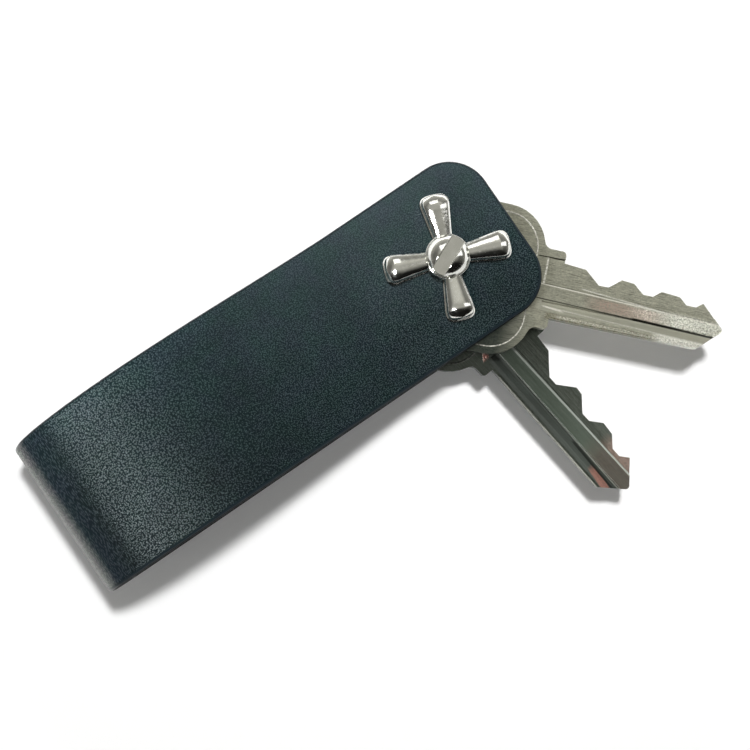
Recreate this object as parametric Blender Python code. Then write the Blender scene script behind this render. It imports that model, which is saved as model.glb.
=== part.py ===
# Leather key holder: a lined leather strap folded into a loop, its two ends held
# together by a slotted screw through a four-armed knob. Two keys turn on the post
# between the ends. Metres, +Z up. The origin is on the post's axis, at the flat back
# of its head. +X runs along the strap to its ends, +Y across it.

import math

import bmesh
import bpy
import numpy as np

MM = 0.001

# Clearances
FACE_GAP = 0.3 * MM  # between pieces stacked on the post
BOND_GAP = 0.3 * MM  # glue line between the strap's two layers
PIVOT_CLEARANCE = 0.1 * MM  # radial, round the post and round the screw's shank

# Strap
STRAP_WIDTH = 25.4 * MM
END_REACH = 11.2 * MM  # post axis to the strap's ends
CORNER_RADIUS = 6.3 * MM
OUTER_THICKNESS = 1.2 * MM
LINING_THICKNESS = 0.8 * MM
OUTER_EDGE_ROUND = 0.6 * MM
LINING_EDGE_ROUND = 0.45 * MM

# Loop of the strap, as its outer face seen from the side
CLAMP_MARGIN = 2.5 * MM  # flat leather beyond the knob's arms
KEY_ROOM = 22.6 * MM  # tip of a key folded in to the inside of the fold
LOOP_RISE = 6.7 * MM  # crest of the front leaf above its clamped end
CREST_FROM_FOLD = 20.3 * MM
LOW_FROM_FOLD = 11.2 * MM  # where the loop rests, behind the fold
FOLD_DROP = 5.0 * MM  # fold's farthest point below the front face
CREST_EASE = 10.2 * MM  # lengths that the curves run tangent at crest and fold
FOLD_EASE = 7.8 * MM
LOW_EASE = 7.2 * MM
LEAF_EASE = 8.0 * MM

# Post, screw and washers
HEAD_RADIUS = 5.0 * MM
HEAD_THICKNESS = 1.2 * MM
HEAD_ROUND = 0.4 * MM
BARREL_RADIUS = 2.5 * MM
SHANK_RADIUS = 1.5 * MM
THREAD_ENGAGEMENT = 4.3 * MM
BORE_SPARE = 0.7 * MM  # bore left empty below the screw's end
WASHER_RADIUS = 4.6 * MM
WASHER_THICKNESS = 0.4 * MM
DOME_RADIUS = 3.05 * MM
DOME_LAND = 0.5 * MM  # upright side of the screw head below its dome
DOME_RISE = 1.55 * MM
SLOT_WIDTH = 2.15 * MM
SLOT_DEPTH = 1.5 * MM

# Knob
ARM_COUNT = 4
ARM_ANGLE = math.radians(69.0)  # first arm, from +X
ARM_REACH = 9.5 * MM
ARM_ROOT_WIDTH = 2.4 * MM
ARM_TIP_WIDTH = 4.3 * MM
ARM_ROOT_HEIGHT = 1.4 * MM
ARM_TIP_HEIGHT = 2.5 * MM
ARM_TIP_ROUND = 1.7 * MM  # length of the rounded tip
TIP_SQUARENESS = 3.2  # 2 is a round tip, more is squarer
ARM_RIM_WIDTH = 0.16 * MM
ARM_RIM_HEIGHT = 0.3 * MM
HUB_RADIUS = 3.35 * MM
HUB_HEIGHT = 1.5 * MM
HUB_ROUND = 0.35 * MM

# Keys, in their own plane: along the blade from the hole, and across it
KEY_THICKNESS = 2.1 * MM
HOLE_OFFSET = 1.0 * MM  # post's axis above the blade's centre line
BOW_HALF_WIDTH = 11.4 * MM
BOW_BACK = 6.5 * MM  # hole to the bow's far edge
BOW_LENGTH = 20.85 * MM
BOW_CORNER = 6.3 * MM
PANEL_RIM = 1.1 * MM
PANEL_DEPTH = 0.15 * MM
PANEL_DRAFT = 0.15 * MM
NECK_FILLET = 1.2 * MM
EAR_HALF_WIDTH = 6.0 * MM
EAR_LENGTH = 3.25 * MM  # bow's edge to the shoulder that stops at a lock
SPINE_EAR_LENGTH = 2.5 * MM
EAR_ROUND = 0.6 * MM
BLADE_HALF_WIDTH = 4.3 * MM
BLADE_TAPER = 0.08  # fall of the cut edge along the blade
CUT_FLAT = 1.5 * MM
CUT_RAMP = math.radians(40)
NOSE_DROP = 0.9 * MM  # nose below the blade's centre line
NOSE_ROUND = 0.55 * MM
NOSE_SLOPE = math.radians(44)
MILLING_START = 15.3 * MM
SIDE_MILLING_LINE = 0.45 * MM  # side milling covers all beyond this line
SIDE_MILLING_DEPTH = 0.25 * MM
GROOVE_TOP = 1.85 * MM  # grooves, measured from the blade's centre line
GROOVE_FLOOR_WIDTH = 0.5 * MM
GROOVE_WIDTH = 1.4 * MM
GROOVE_DEPTH = 0.5 * MM
BACK_GROOVE_LINE = 1.6 * MM

FRONT_KEY_TIP = 42.6 * MM
FRONT_KEY_TURN = math.radians(-46.0)
FRONT_CUTS = ((24.0 * MM, 2.1 * MM), (30.8 * MM, 2.1 * MM), (37.5 * MM, 1.85 * MM))
REAR_KEY_TIP = 43.8 * MM
REAR_KEY_TURN = math.radians(-82.7)
REAR_CUTS = ((24.2 * MM, 1.5 * MM), (31.6 * MM, 1.55 * MM), (38.6 * MM, 1.4 * MM))

# Facets
ROUND_STEPS = 48
CORNER_STEPS = 6
CURVE_STEPS = 14

# Sizes that follow from the ones above
LEATHER_THICKNESS = OUTER_THICKNESS + BOND_GAP + LINING_THICKNESS
BOW_FRONT = BOW_LENGTH - BOW_BACK
SHOULDER = BOW_FRONT + EAR_LENGTH
CLAMP_FLAT = ARM_REACH + CLAMP_MARGIN
FOLD_REACH = max(FRONT_KEY_TIP, REAR_KEY_TIP) + KEY_ROOM + LEATHER_THICKNESS
PIVOT_RADIUS = BARREL_RADIUS + PIVOT_CLEARANCE
OVERCUT = 1.0 * MM  # how far a cutter runs past what it cuts

# Heights up the post
REAR_FACE_Z = HEAD_THICKNESS + FACE_GAP
REAR_WASHER_Z = REAR_FACE_Z + LEATHER_THICKNESS + FACE_GAP
REAR_KEY_Z = REAR_WASHER_Z + WASHER_THICKNESS + FACE_GAP
MIDDLE_WASHER_Z = REAR_KEY_Z + KEY_THICKNESS + FACE_GAP
FRONT_KEY_Z = MIDDLE_WASHER_Z + WASHER_THICKNESS + FACE_GAP
FRONT_WASHER_Z = FRONT_KEY_Z + KEY_THICKNESS + FACE_GAP
FRONT_FACE_Z = FRONT_WASHER_Z + WASHER_THICKNESS + FACE_GAP + LEATHER_THICKNESS
KNOB_Z = FRONT_FACE_Z + FACE_GAP
SCREW_HEAD_Z = KNOB_Z + HUB_HEIGHT + FACE_GAP
BARREL_TOP_Z = FRONT_FACE_Z - FACE_GAP


def clear_scene():
    for old in list(bpy.data.objects):
        bpy.data.objects.remove(old, do_unlink=True)


def material(name, colour, roughness, metallic):
    made = bpy.data.materials.new(name)
    made.use_nodes = True
    shader = made.node_tree.nodes["Principled BSDF"]
    shader.inputs["Base Color"].default_value = (*colour, 1.0)
    shader.inputs["Roughness"].default_value = roughness
    shader.inputs["Metallic"].default_value = metallic
    return made


def place(name, bm, finish=None):
    """Turns a bmesh into a named, smooth-shaded object."""
    bmesh.ops.recalc_face_normals(bm, faces=bm.faces[:])
    mesh = bpy.data.meshes.new(name)
    bm.to_mesh(mesh)
    bm.free()
    mesh.shade_smooth()
    mesh.set_sharp_from_angle(angle=math.radians(35))
    made = bpy.data.objects.new(name, mesh)
    bpy.context.scene.collection.objects.link(made)
    if finish is not None:
        mesh.materials.append(finish)
    return made


def even_shading(made):
    """Keeps flat faces looking flat beside the cuts."""
    shading = made.modifiers.new("Even shading", "WEIGHTED_NORMAL")
    shading.keep_sharp = True


def hide_helper(helper):
    helper.hide_render = True
    helper.display_type = "WIRE"


def boolean(target, helper, operation):
    hide_helper(helper)
    modifier = target.modifiers.new(operation.title() + " " + helper.name, "BOOLEAN")
    modifier.operation = operation
    modifier.solver = "EXACT"
    modifier.object = helper


def arc(centre, radius, start, end, steps):
    """Points of a circular arc from one angle in degrees to another, both included."""
    angles = np.radians(np.linspace(start, end, steps + 1))
    return [(centre[0] + radius * math.cos(a), centre[1] + radius * math.sin(a)) for a in angles]


def prism(outline, low, high):
    """A closed outline in the XY plane, extruded from one height to another."""
    bm = bmesh.new()
    bottom = [bm.verts.new((x, y, low)) for x, y in outline]
    top = [bm.verts.new((x, y, high)) for x, y in outline]
    bm.faces.new(bottom[::-1])
    bm.faces.new(top)
    for i in range(len(outline)):
        j = (i + 1) % len(outline)
        bm.faces.new((bottom[i], bottom[j], top[j], top[i]))
    return bm


def turned(profile, steps=ROUND_STEPS):
    """A profile of (radius, height) points turned round Z, closed where it meets the axis."""
    bm = bmesh.new()
    rings = []
    for radius, height in profile:
        if radius < 1e-9:
            rings.append([bm.verts.new((0.0, 0.0, height))] * steps)
            continue
        angles = [2 * math.pi * i / steps for i in range(steps)]
        rings.append([bm.verts.new((radius * math.cos(a), radius * math.sin(a), height)) for a in angles])
    for lower, upper in zip(rings, rings[1:]):
        for i in range(steps):
            j = (i + 1) % steps
            corners = dict.fromkeys((lower[i], lower[j], upper[j], upper[i]))
            bm.faces.new(list(corners))
    return bm


def round_cutter(name, radius, low, high):
    """A plain cylinder on the post's axis, for cutting a hole."""
    return place(name, turned([(0, low), (radius, low), (radius, high), (0, high)]))


def bezier(points, steps):
    """A cubic Bezier curve's points after its first one, and the directions there."""
    start, leave, arrive, end = (np.array(p) for p in points)
    t = np.linspace(0, 1, steps + 1)[1:, None]
    places = (1 - t) ** 3 * start + 3 * (1 - t) ** 2 * t * leave + 3 * (1 - t) * t**2 * arrive + t**3 * end
    ways = (1 - t) ** 2 * (leave - start) + 2 * (1 - t) * t * (arrive - leave) + t**2 * (end - arrive)
    return places, ways / np.linalg.norm(ways, axis=1)[:, None]


def strap_path():
    """The strap's outer face seen from the side, from its front end round the fold to its
    rear end: places (x, z), outward normals and half widths, one for each station."""
    crest = (CREST_FROM_FOLD - FOLD_REACH, FRONT_FACE_Z + LOOP_RISE)
    fold = (-FOLD_REACH, FRONT_FACE_Z - FOLD_DROP)
    low = (LOW_FROM_FOLD - FOLD_REACH, 0.0)
    # The handles are picked so that the curvature runs on through crest, fold and low point.
    crest_handle = CREST_EASE * math.sqrt(LOOP_RISE / (crest[1] - fold[1] - FOLD_EASE))
    fold_handle = FOLD_EASE * math.sqrt((LOW_FROM_FOLD - LOW_EASE) / (CREST_FROM_FOLD - CREST_EASE))
    front_start = (-CLAMP_FLAT, FRONT_FACE_Z)
    rear_end = (-CLAMP_FLAT, REAR_FACE_Z)
    pieces = (
        (front_start, (-CLAMP_FLAT - LEAF_EASE, FRONT_FACE_Z), (crest[0] + crest_handle, crest[1]), crest),
        (crest, (crest[0] - CREST_EASE, crest[1]), (fold[0], fold[1] + FOLD_EASE), fold),
        (fold, (fold[0], fold[1] - fold_handle), (low[0] - LOW_EASE, low[1]), low),
        (low, (low[0] + LEAF_EASE, low[1]), (-CLAMP_FLAT - LEAF_EASE, REAR_FACE_Z), rear_end),
    )
    turns = np.radians(np.linspace(0, 90, CORNER_STEPS + 1))
    insets = CORNER_RADIUS * (1 - np.cos(turns))
    corner_widths = STRAP_WIDTH / 2 - CORNER_RADIUS * (1 - np.sin(turns))
    front_run = [(END_REACH - d, FRONT_FACE_Z) for d in insets] + [front_start]
    rear_run = [(END_REACH - d, REAR_FACE_Z) for d in insets[::-1]]
    places = [np.array(front_run)]
    ways = [np.tile((-1.0, 0.0), (len(front_run), 1))]
    for piece in pieces:
        curve, directions = bezier(piece, CURVE_STEPS)
        places.append(curve)
        ways.append(directions)
    places.append(np.array(rear_run))
    ways.append(np.tile((1.0, 0.0), (len(rear_run), 1)))
    places = np.concatenate(places)
    ways = np.concatenate(ways)
    normals = np.stack([ways[:, 1], -ways[:, 0]], axis=1)
    widths = np.full(len(places), STRAP_WIDTH / 2)
    widths[: len(insets)] = corner_widths
    widths[-len(insets) :] = corner_widths[::-1]
    return places, normals, widths


def strap_layer(name, finish, outer_depth, inner_depth, edge_round, round_outer):
    """One leather layer of the strap, between two depths below the outer face."""
    places, normals, widths = strap_path()
    bm = bmesh.new()
    weights = bm.edges.layers.float.new("bevel_weight_edge")
    rows = []
    for depth in (outer_depth, inner_depth):
        line = places - normals * depth
        for side in (1, -1):
            rows.append([bm.verts.new((x, side * w, z)) for (x, z), w in zip(line, widths)])
    outer_left, outer_right, inner_left, inner_right = rows
    loop = (outer_left, outer_right, inner_right, inner_left)
    for a, b in zip(loop, loop[1:] + loop[:1]):
        for i in range(len(a) - 1):
            bm.faces.new((a[i], a[i + 1], b[i + 1], b[i]))
    bm.faces.new([row[0] for row in loop])
    bm.faces.new([row[-1] for row in loop[::-1]])
    rounded = (outer_left, outer_right) if round_outer else (inner_left, inner_right)
    ends = {frozenset((rounded[0][i], rounded[1][i])) for i in (0, -1)}
    for edge in bm.edges:
        both = frozenset(edge.verts)
        along = any(both <= set(row) for row in rounded)
        if along or both in ends:
            edge[weights] = 1.0
    layer = place(name, bm, finish)
    bevel = layer.modifiers.new("Rounded edge", "BEVEL")
    bevel.limit_method = "WEIGHT"
    bevel.width = edge_round
    bevel.segments = 2
    bevel.use_clamp_overlap = False
    hole = round_cutter(name + "_hole", PIVOT_RADIUS, -OVERCUT, FRONT_FACE_Z + OVERCUT)
    boolean(layer, hole, "DIFFERENCE")
    even_shading(layer)
    return layer


def rounded_panel(back, front, half_width, radius, steps=8):
    """A rectangle with four equal round corners, anticlockwise."""
    corners = (
        ((front - radius, half_width - radius), 0),
        ((back + radius, half_width - radius), 90),
        ((back + radius, radius - half_width), 180),
        ((front - radius, radius - half_width), 270),
    )
    outline = []
    for centre, start in corners:
        outline += arc(centre, radius, start, start + 90, steps)
    return outline


def blank_outline(tip):
    """The uncut key seen from its face, anticlockwise, with the edge to be cut at +Y."""
    bow_corner = (BOW_FRONT - BOW_CORNER, BOW_HALF_WIDTH - BOW_CORNER)
    rise = EAR_HALF_WIDTH + NECK_FILLET - bow_corner[1]
    reach = math.sqrt((BOW_CORNER + NECK_FILLET) ** 2 - rise**2)
    neck = (bow_corner[0] + reach, EAR_HALF_WIDTH + NECK_FILLET)
    meeting = math.degrees(math.atan2(rise, reach))
    side = arc(neck, NECK_FILLET, 270, 180 + meeting, 4)
    side += arc(bow_corner, BOW_CORNER, meeting, 90, 7)
    side += arc((BOW_CORNER - BOW_BACK, bow_corner[1]), BOW_CORNER, 90, 180, 8)
    # The nose is a small round between two slopes: a short one from the edge, a long one to the spine.
    turn = 90 - math.degrees(NOSE_SLOPE)
    nose = arc((tip - NOSE_ROUND, -NOSE_DROP), NOSE_ROUND, -turn, turn, 4)
    fall = math.tan(NOSE_SLOPE)
    spine_end = nose[0][0] - (BLADE_HALF_WIDTH + nose[0][1]) / fall
    edge_at_zero = BLADE_HALF_WIDTH + BLADE_TAPER * SHOULDER
    edge_end = (nose[-1][1] + fall * nose[-1][0] - edge_at_zero) / (fall - BLADE_TAPER)
    spine_shoulder = BOW_FRONT + SPINE_EAR_LENGTH
    outline = [(spine_shoulder, -BLADE_HALF_WIDTH), (spine_end, -BLADE_HALF_WIDTH)]
    outline += nose
    outline += [(edge_end, edge_at_zero - BLADE_TAPER * edge_end), (SHOULDER, BLADE_HALF_WIDTH)]
    outline += arc((SHOULDER - EAR_ROUND, EAR_HALF_WIDTH - EAR_ROUND), EAR_ROUND, 0, 90, 3)
    outline += side
    outline += [(x, -y) for x, y in side[::-1]]
    outline += arc((spine_shoulder - EAR_ROUND, EAR_ROUND - EAR_HALF_WIDTH), EAR_ROUND, 270, 360, 3)
    return [(x, y - HOLE_OFFSET) for x, y in outline]


def notch_cutter(name, centre, floor, low, high):
    """One cut of the bitting: a flat floor between two ramps, as the cutting wheel leaves it."""
    past = BLADE_HALF_WIDTH + OVERCUT
    spread = CUT_FLAT / 2 + (past - floor) / math.tan(CUT_RAMP)
    corners = ((-CUT_FLAT / 2, floor), (CUT_FLAT / 2, floor), (spread, past), (-spread, past))
    outline = [(centre + x, y - HOLE_OFFSET) for x, y in corners]
    return place(name, prism(outline, low, high))


def panel_cutter(name, face_z, direction):
    """Cuts the shallow sunk panel of one face of the bow, with sloping walls."""
    shift = direction * PANEL_DEPTH
    levels = ((0.0, face_z - shift), (PANEL_DRAFT, face_z), (PANEL_DRAFT, face_z + direction * OVERCUT))
    bm = bmesh.new()
    loops = []
    for grow, height in levels:
        rim = PANEL_RIM + PANEL_DRAFT - grow
        outline = rounded_panel(rim - BOW_BACK, BOW_FRONT - rim, BOW_HALF_WIDTH - rim, BOW_CORNER - rim)
        loops.append([bm.verts.new((x, y - HOLE_OFFSET, height)) for x, y in outline])
    for lower, upper in zip(loops, loops[1:]):
        for i in range(len(lower)):
            j = (i + 1) % len(lower)
            bm.faces.new((lower[i], lower[j], upper[j], upper[i]))
    bm.faces.new(loops[0][::-1])
    bm.faces.new(loops[-1])
    return place(name, bm)


def groove_cutter(name, section, start, end):
    """A groove along the blade, from a closed section of (across, height) points."""
    bm = bmesh.new()
    near = [bm.verts.new((start, y - HOLE_OFFSET, z)) for y, z in section]
    far = [bm.verts.new((end, y - HOLE_OFFSET, z)) for y, z in section]
    bm.faces.new(near)
    bm.faces.new(far[::-1])
    for i in range(len(section)):
        j = (i + 1) % len(section)
        bm.faces.new((near[i], near[j], far[j], far[i]))
    return place(name, bm)


def make_key(name, finish, base_z, tip, turn, cuts):
    """A cylinder-lock key: bow with a sunk panel, ears, milled and cut blade."""
    top = base_z + KEY_THICKNESS
    key = place(name, prism(blank_outline(tip), base_z, top), finish)
    end = tip + OVERCUT
    helpers = [round_cutter(name + "_hole", PIVOT_RADIUS, base_z - OVERCUT, top + OVERCUT)]
    for i, (centre, floor) in enumerate(cuts):
        helpers.append(notch_cutter(f"{name}_cut_{i + 1}", centre, floor, base_z - OVERCUT, top + OVERCUT))
    helpers.append(panel_cutter(name + "_front_panel", top, 1))
    helpers.append(panel_cutter(name + "_rear_panel", base_z, -1))
    sides = (
        (SIDE_MILLING_LINE, top + OVERCUT),
        (SIDE_MILLING_LINE + SIDE_MILLING_DEPTH, top - SIDE_MILLING_DEPTH),
        (BLADE_HALF_WIDTH + PANEL_RIM / 2, top - SIDE_MILLING_DEPTH),
        (BLADE_HALF_WIDTH + PANEL_RIM / 2, top + OVERCUT),
    )
    helpers.append(groove_cutter(name + "_side_milling", sides, MILLING_START, end))
    groove = (
        (-GROOVE_TOP, top + OVERCUT),
        (-GROOVE_TOP, top - GROOVE_DEPTH),
        (-GROOVE_TOP - GROOVE_FLOOR_WIDTH, top - GROOVE_DEPTH),
        (-GROOVE_TOP - GROOVE_WIDTH, top),
        (-GROOVE_TOP - GROOVE_WIDTH, top + OVERCUT),
    )
    helpers.append(groove_cutter(name + "_front_groove", groove, MILLING_START, end))
    back = (
        (BACK_GROOVE_LINE, base_z - OVERCUT),
        (BACK_GROOVE_LINE, base_z),
        (BACK_GROOVE_LINE - GROOVE_WIDTH + GROOVE_FLOOR_WIDTH, base_z + GROOVE_DEPTH),
        (BACK_GROOVE_LINE - GROOVE_WIDTH, base_z + GROOVE_DEPTH),
        (BACK_GROOVE_LINE - GROOVE_WIDTH, base_z - OVERCUT),
    )
    helpers.append(groove_cutter(name + "_rear_groove", back, MILLING_START, end))
    for helper in helpers:
        helper.parent = key
        boolean(key, helper, "DIFFERENCE")
    even_shading(key)
    key.rotation_euler = (0, 0, turn)
    return key


def club_arm(name, angle):
    """One arm of the knob: a domed club, thin at the hub, on a low rim."""
    start = SHANK_RADIUS + PIVOT_CLEARANCE
    shoulder = ARM_REACH - ARM_TIP_ROUND
    straight = np.linspace(start, shoulder, 5)
    rounded = shoulder + ARM_TIP_ROUND * np.sin(np.radians(np.linspace(0, 84, 9)[1:]))
    bend = np.radians(np.linspace(0, 180, 13))
    bm = bmesh.new()
    rings = []
    for along in (*straight, *rounded):
        part = (along - start) / (shoulder - start)
        past = max(0.0, (along - shoulder) / ARM_TIP_ROUND)
        close = (1 - past**TIP_SQUARENESS) ** (1 / TIP_SQUARENESS)
        half = close * (ARM_ROOT_WIDTH + (ARM_TIP_WIDTH - ARM_ROOT_WIDTH) * min(part, 1.0)) / 2
        crown = ARM_ROOT_HEIGHT + (ARM_TIP_HEIGHT - ARM_ROOT_HEIGHT) * min(part, 1.0)
        crown = ARM_RIM_HEIGHT + (crown - ARM_RIM_HEIGHT) * close
        inner = half - ARM_RIM_WIDTH * close
        ring = [(half, 0.0), (half, ARM_RIM_HEIGHT)]
        for a in bend:
            across = inner * math.copysign(abs(math.cos(a)) ** 0.8, math.cos(a))
            ring.append((across, ARM_RIM_HEIGHT + (crown - ARM_RIM_HEIGHT) * math.sin(a) ** 0.8))
        ring += [(-half, ARM_RIM_HEIGHT), (-half, 0.0)]
        rings.append([bm.verts.new((along, y, KNOB_Z + z)) for y, z in ring])
    for a, b in zip(rings, rings[1:]):
        for i in range(len(a)):
            j = (i + 1) % len(a)
            bm.faces.new((a[i], a[j], b[j], b[i]))
    bm.faces.new(rings[0][::-1])
    bm.faces.new(rings[-1])
    arm = place(name, bm)
    arm.rotation_euler = (0, 0, angle)
    return arm


def make_knob(finish):
    """The four-armed knob: a round hub, four arms and a hole for the screw."""
    shoulder = arc((HUB_RADIUS - HUB_ROUND, KNOB_Z + HUB_HEIGHT - HUB_ROUND), HUB_ROUND, 0, 90, 4)
    profile = [(0, KNOB_Z), (HUB_RADIUS, KNOB_Z), *shoulder, (0, KNOB_Z + HUB_HEIGHT)]
    knob = place("cross_knob", turned(profile), finish)
    for i in range(ARM_COUNT):
        angle = ARM_ANGLE + 2 * math.pi * i / ARM_COUNT
        boolean(knob, club_arm(f"knob_arm_{i + 1}", angle), "UNION")
    top = KNOB_Z + ARM_TIP_HEIGHT + OVERCUT
    bore = round_cutter("knob_hole", SHANK_RADIUS + PIVOT_CLEARANCE, KNOB_Z - OVERCUT, top)
    boolean(knob, bore, "DIFFERENCE")
    seat = round_cutter("knob_seat", DOME_RADIUS + PIVOT_CLEARANCE, KNOB_Z + HUB_HEIGHT, top)
    boolean(knob, seat, "DIFFERENCE")
    even_shading(knob)
    return knob


def make_screw(finish):
    """The slotted screw: plain shank, upright land and a domed head."""
    end_z = BARREL_TOP_Z - THREAD_ENGAGEMENT
    land_z = SCREW_HEAD_Z + DOME_LAND
    sphere = (DOME_RADIUS**2 + DOME_RISE**2) / (2 * DOME_RISE)
    centre = (0.0, land_z + DOME_RISE - sphere)
    start = math.degrees(math.asin((sphere - DOME_RISE) / sphere))
    dome = arc(centre, sphere, start, 90, 8)
    dome[-1] = (0.0, land_z + DOME_RISE)
    profile = [(0, end_z), (SHANK_RADIUS, end_z), (SHANK_RADIUS, SCREW_HEAD_Z), (DOME_RADIUS, SCREW_HEAD_Z)]
    screw = place("dome_screw", turned(profile + dome), finish)
    crown_z = land_z + DOME_RISE
    half = SLOT_WIDTH / 2
    length = DOME_RADIUS + OVERCUT
    outline = [(-length, -half), (length, -half), (length, half), (-length, half)]
    slot = place("screw_slot", prism(outline, crown_z - SLOT_DEPTH, crown_z + OVERCUT))
    # The slot lies half-way between two arms.
    slot.rotation_euler = (0, 0, ARM_ANGLE - math.pi / ARM_COUNT)
    boolean(screw, slot, "DIFFERENCE")
    even_shading(screw)
    return screw


def make_post(finish):
    """The rear post: a flat round head and a barrel with a blind bore for the screw."""
    bore_radius = SHANK_RADIUS + PIVOT_CLEARANCE
    bore_floor = BARREL_TOP_Z - THREAD_ENGAGEMENT - BORE_SPARE
    profile = [(0, 0)]
    profile += arc((HEAD_RADIUS - HEAD_ROUND, HEAD_ROUND), HEAD_ROUND, -90, 0, 4)
    profile += [(HEAD_RADIUS, HEAD_THICKNESS), (BARREL_RADIUS, HEAD_THICKNESS)]
    profile += [(BARREL_RADIUS, BARREL_TOP_Z), (bore_radius, BARREL_TOP_Z)]
    profile += [(bore_radius, bore_floor), (0, bore_floor)]
    return place("rear_post", turned(profile), finish)


def make_washer(name, finish, base_z):
    """A thin flat ring that sets a key's friction."""
    top = base_z + WASHER_THICKNESS
    profile = [(PIVOT_RADIUS, base_z), (WASHER_RADIUS, base_z), (WASHER_RADIUS, top), (PIVOT_RADIUS, top)]
    return place(name, turned(profile + profile[:1]), finish)


def main():
    clear_scene()
    leather = material("leather_dark", (0.035, 0.055, 0.06), 0.5, 0.0)
    lining = material("leather_lining", (0.03, 0.035, 0.035), 0.7, 0.0)
    chrome = material("chrome", (0.82, 0.8, 0.77), 0.08, 1.0)
    nickel = material("nickel_key", (0.5, 0.48, 0.43), 0.35, 1.0)
    nylon = material("nylon", (0.05, 0.05, 0.05), 0.5, 0.0)
    lining_depth = OUTER_THICKNESS + BOND_GAP
    strap_layer("outer_leather", leather, 0.0, OUTER_THICKNESS, OUTER_EDGE_ROUND, True)
    strap_layer("lining_leather", lining, lining_depth, LEATHER_THICKNESS, LINING_EDGE_ROUND, False)
    make_post(chrome)
    make_washer("rear_washer", nylon, REAR_WASHER_Z)
    make_key("rear_key", nickel, REAR_KEY_Z, REAR_KEY_TIP, REAR_KEY_TURN, REAR_CUTS)
    make_washer("middle_washer", nylon, MIDDLE_WASHER_Z)
    make_key("front_key", nickel, FRONT_KEY_Z, FRONT_KEY_TIP, FRONT_KEY_TURN, FRONT_CUTS)
    make_washer("front_washer", nylon, FRONT_WASHER_Z)
    make_knob(chrome)
    make_screw(chrome)


main()
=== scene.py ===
# Looks of the leather key holder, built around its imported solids.
# Metres, +Z up the post, +X along the strap to its clamped ends, +Y across the strap.

import math

import bmesh
import bpy
import numpy as np
from mathutils import Matrix


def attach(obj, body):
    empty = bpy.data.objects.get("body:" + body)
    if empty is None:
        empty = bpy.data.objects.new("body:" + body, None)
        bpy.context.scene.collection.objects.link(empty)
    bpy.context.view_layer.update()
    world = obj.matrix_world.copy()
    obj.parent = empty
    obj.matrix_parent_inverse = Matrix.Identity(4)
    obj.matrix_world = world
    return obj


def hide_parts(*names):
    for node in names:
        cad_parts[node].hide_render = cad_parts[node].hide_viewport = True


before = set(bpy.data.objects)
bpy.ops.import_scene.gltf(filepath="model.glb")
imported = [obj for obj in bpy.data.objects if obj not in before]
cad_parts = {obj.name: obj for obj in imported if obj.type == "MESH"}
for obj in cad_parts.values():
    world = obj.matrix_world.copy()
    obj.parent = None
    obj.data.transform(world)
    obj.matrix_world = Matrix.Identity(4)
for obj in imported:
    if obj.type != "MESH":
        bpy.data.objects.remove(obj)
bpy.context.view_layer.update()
mm = 0.001
roundSteps = 128
boreSteps = 96
cornerTurn = np.linspace(0, np.pi / 2, 25)
print("frame:", len(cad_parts), "solids")


# ---- meshes from arrays
def gridFaces(rows, columns, wrapColumns):
    # Quads between neighbouring points of a grid; wrapping joins the last column to the first.
    row = np.arange(rows - 1)[:, None]
    column = np.arange(columns if wrapColumns else columns - 1)[None, :]
    beside = (column + 1) % columns
    here, below = row * columns, (row + 1) * columns
    corners = [here + column, here + beside, below + beside, below + column]
    return np.stack(corners, axis=-1).reshape(-1, 4)


def meshFrom(name, points, faces, uv=None):
    # A tidied mesh from points and quads.
    mesh = bpy.data.meshes.new(name)
    mesh.from_pydata(points.reshape(-1, 3), [], faces)
    if uv is not None:
        layer = mesh.uv_layers.new(name="flatUV")
        layer.data.foreach_set("uv", uv.reshape(-1, 2)[faces.ravel()].ravel())
    tidyMesh(mesh, 0.0002 * mm)
    return mesh


def tidyMesh(mesh, mergeDistance, flatAngle=0.0):
    # Doubles merged and faces turned outwards; with an angle, faces flat to within it are joined.
    bm = bmesh.new()
    bm.from_mesh(mesh)
    bmesh.ops.remove_doubles(bm, verts=bm.verts[:], dist=mergeDistance)
    if flatAngle:
        bmesh.ops.dissolve_limit(bm, angle_limit=flatAngle, verts=bm.verts[:], edges=bm.edges[:])
    else:
        bmesh.ops.dissolve_degenerate(bm, dist=mergeDistance / 4, edges=bm.edges[:])
    bmesh.ops.recalc_face_normals(bm, faces=bm.faces[:])
    bm.to_mesh(mesh)
    bm.free()
    mesh.shade_smooth()


def newObject(name, data):
    made = bpy.data.objects.new(name, data)
    bpy.context.scene.collection.objects.link(made)
    return made


def addPiece(name, mesh, body, finish, replaced=()):
    piece = newObject(name, mesh)
    mesh.materials.clear()
    mesh.materials.append(finish)
    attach(piece, body)
    if replaced:
        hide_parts(*replaced)
    print("piece:", name, len(mesh.polygons), "faces")
    return piece


def lathe(profile, steps):
    # A profile of (radius, height) turned round Z: point = (radius cos a, radius sin a, height).
    profile = np.array(profile, float)
    angles = np.linspace(0, 2 * np.pi, steps, endpoint=False)
    radius, height = profile[:, :1], profile[:, 1:]
    points = np.stack([radius * np.cos(angles), radius * np.sin(angles), height + 0 * angles], axis=-1)
    return points, gridFaces(len(profile), steps, True)


def rod(name, radius, low, high, steps):
    # A closed cylinder on the post's axis.
    return meshFrom(name, *lathe([(0, low), (radius, low), (radius, high), (0, high)], steps))


def arcPoints(centre, radius, start, end, steps):
    angles = np.radians(np.linspace(start, end, steps + 1))
    return np.stack([centre[0] + radius * np.cos(angles), centre[1] + radius * np.sin(angles)], axis=1)


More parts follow.
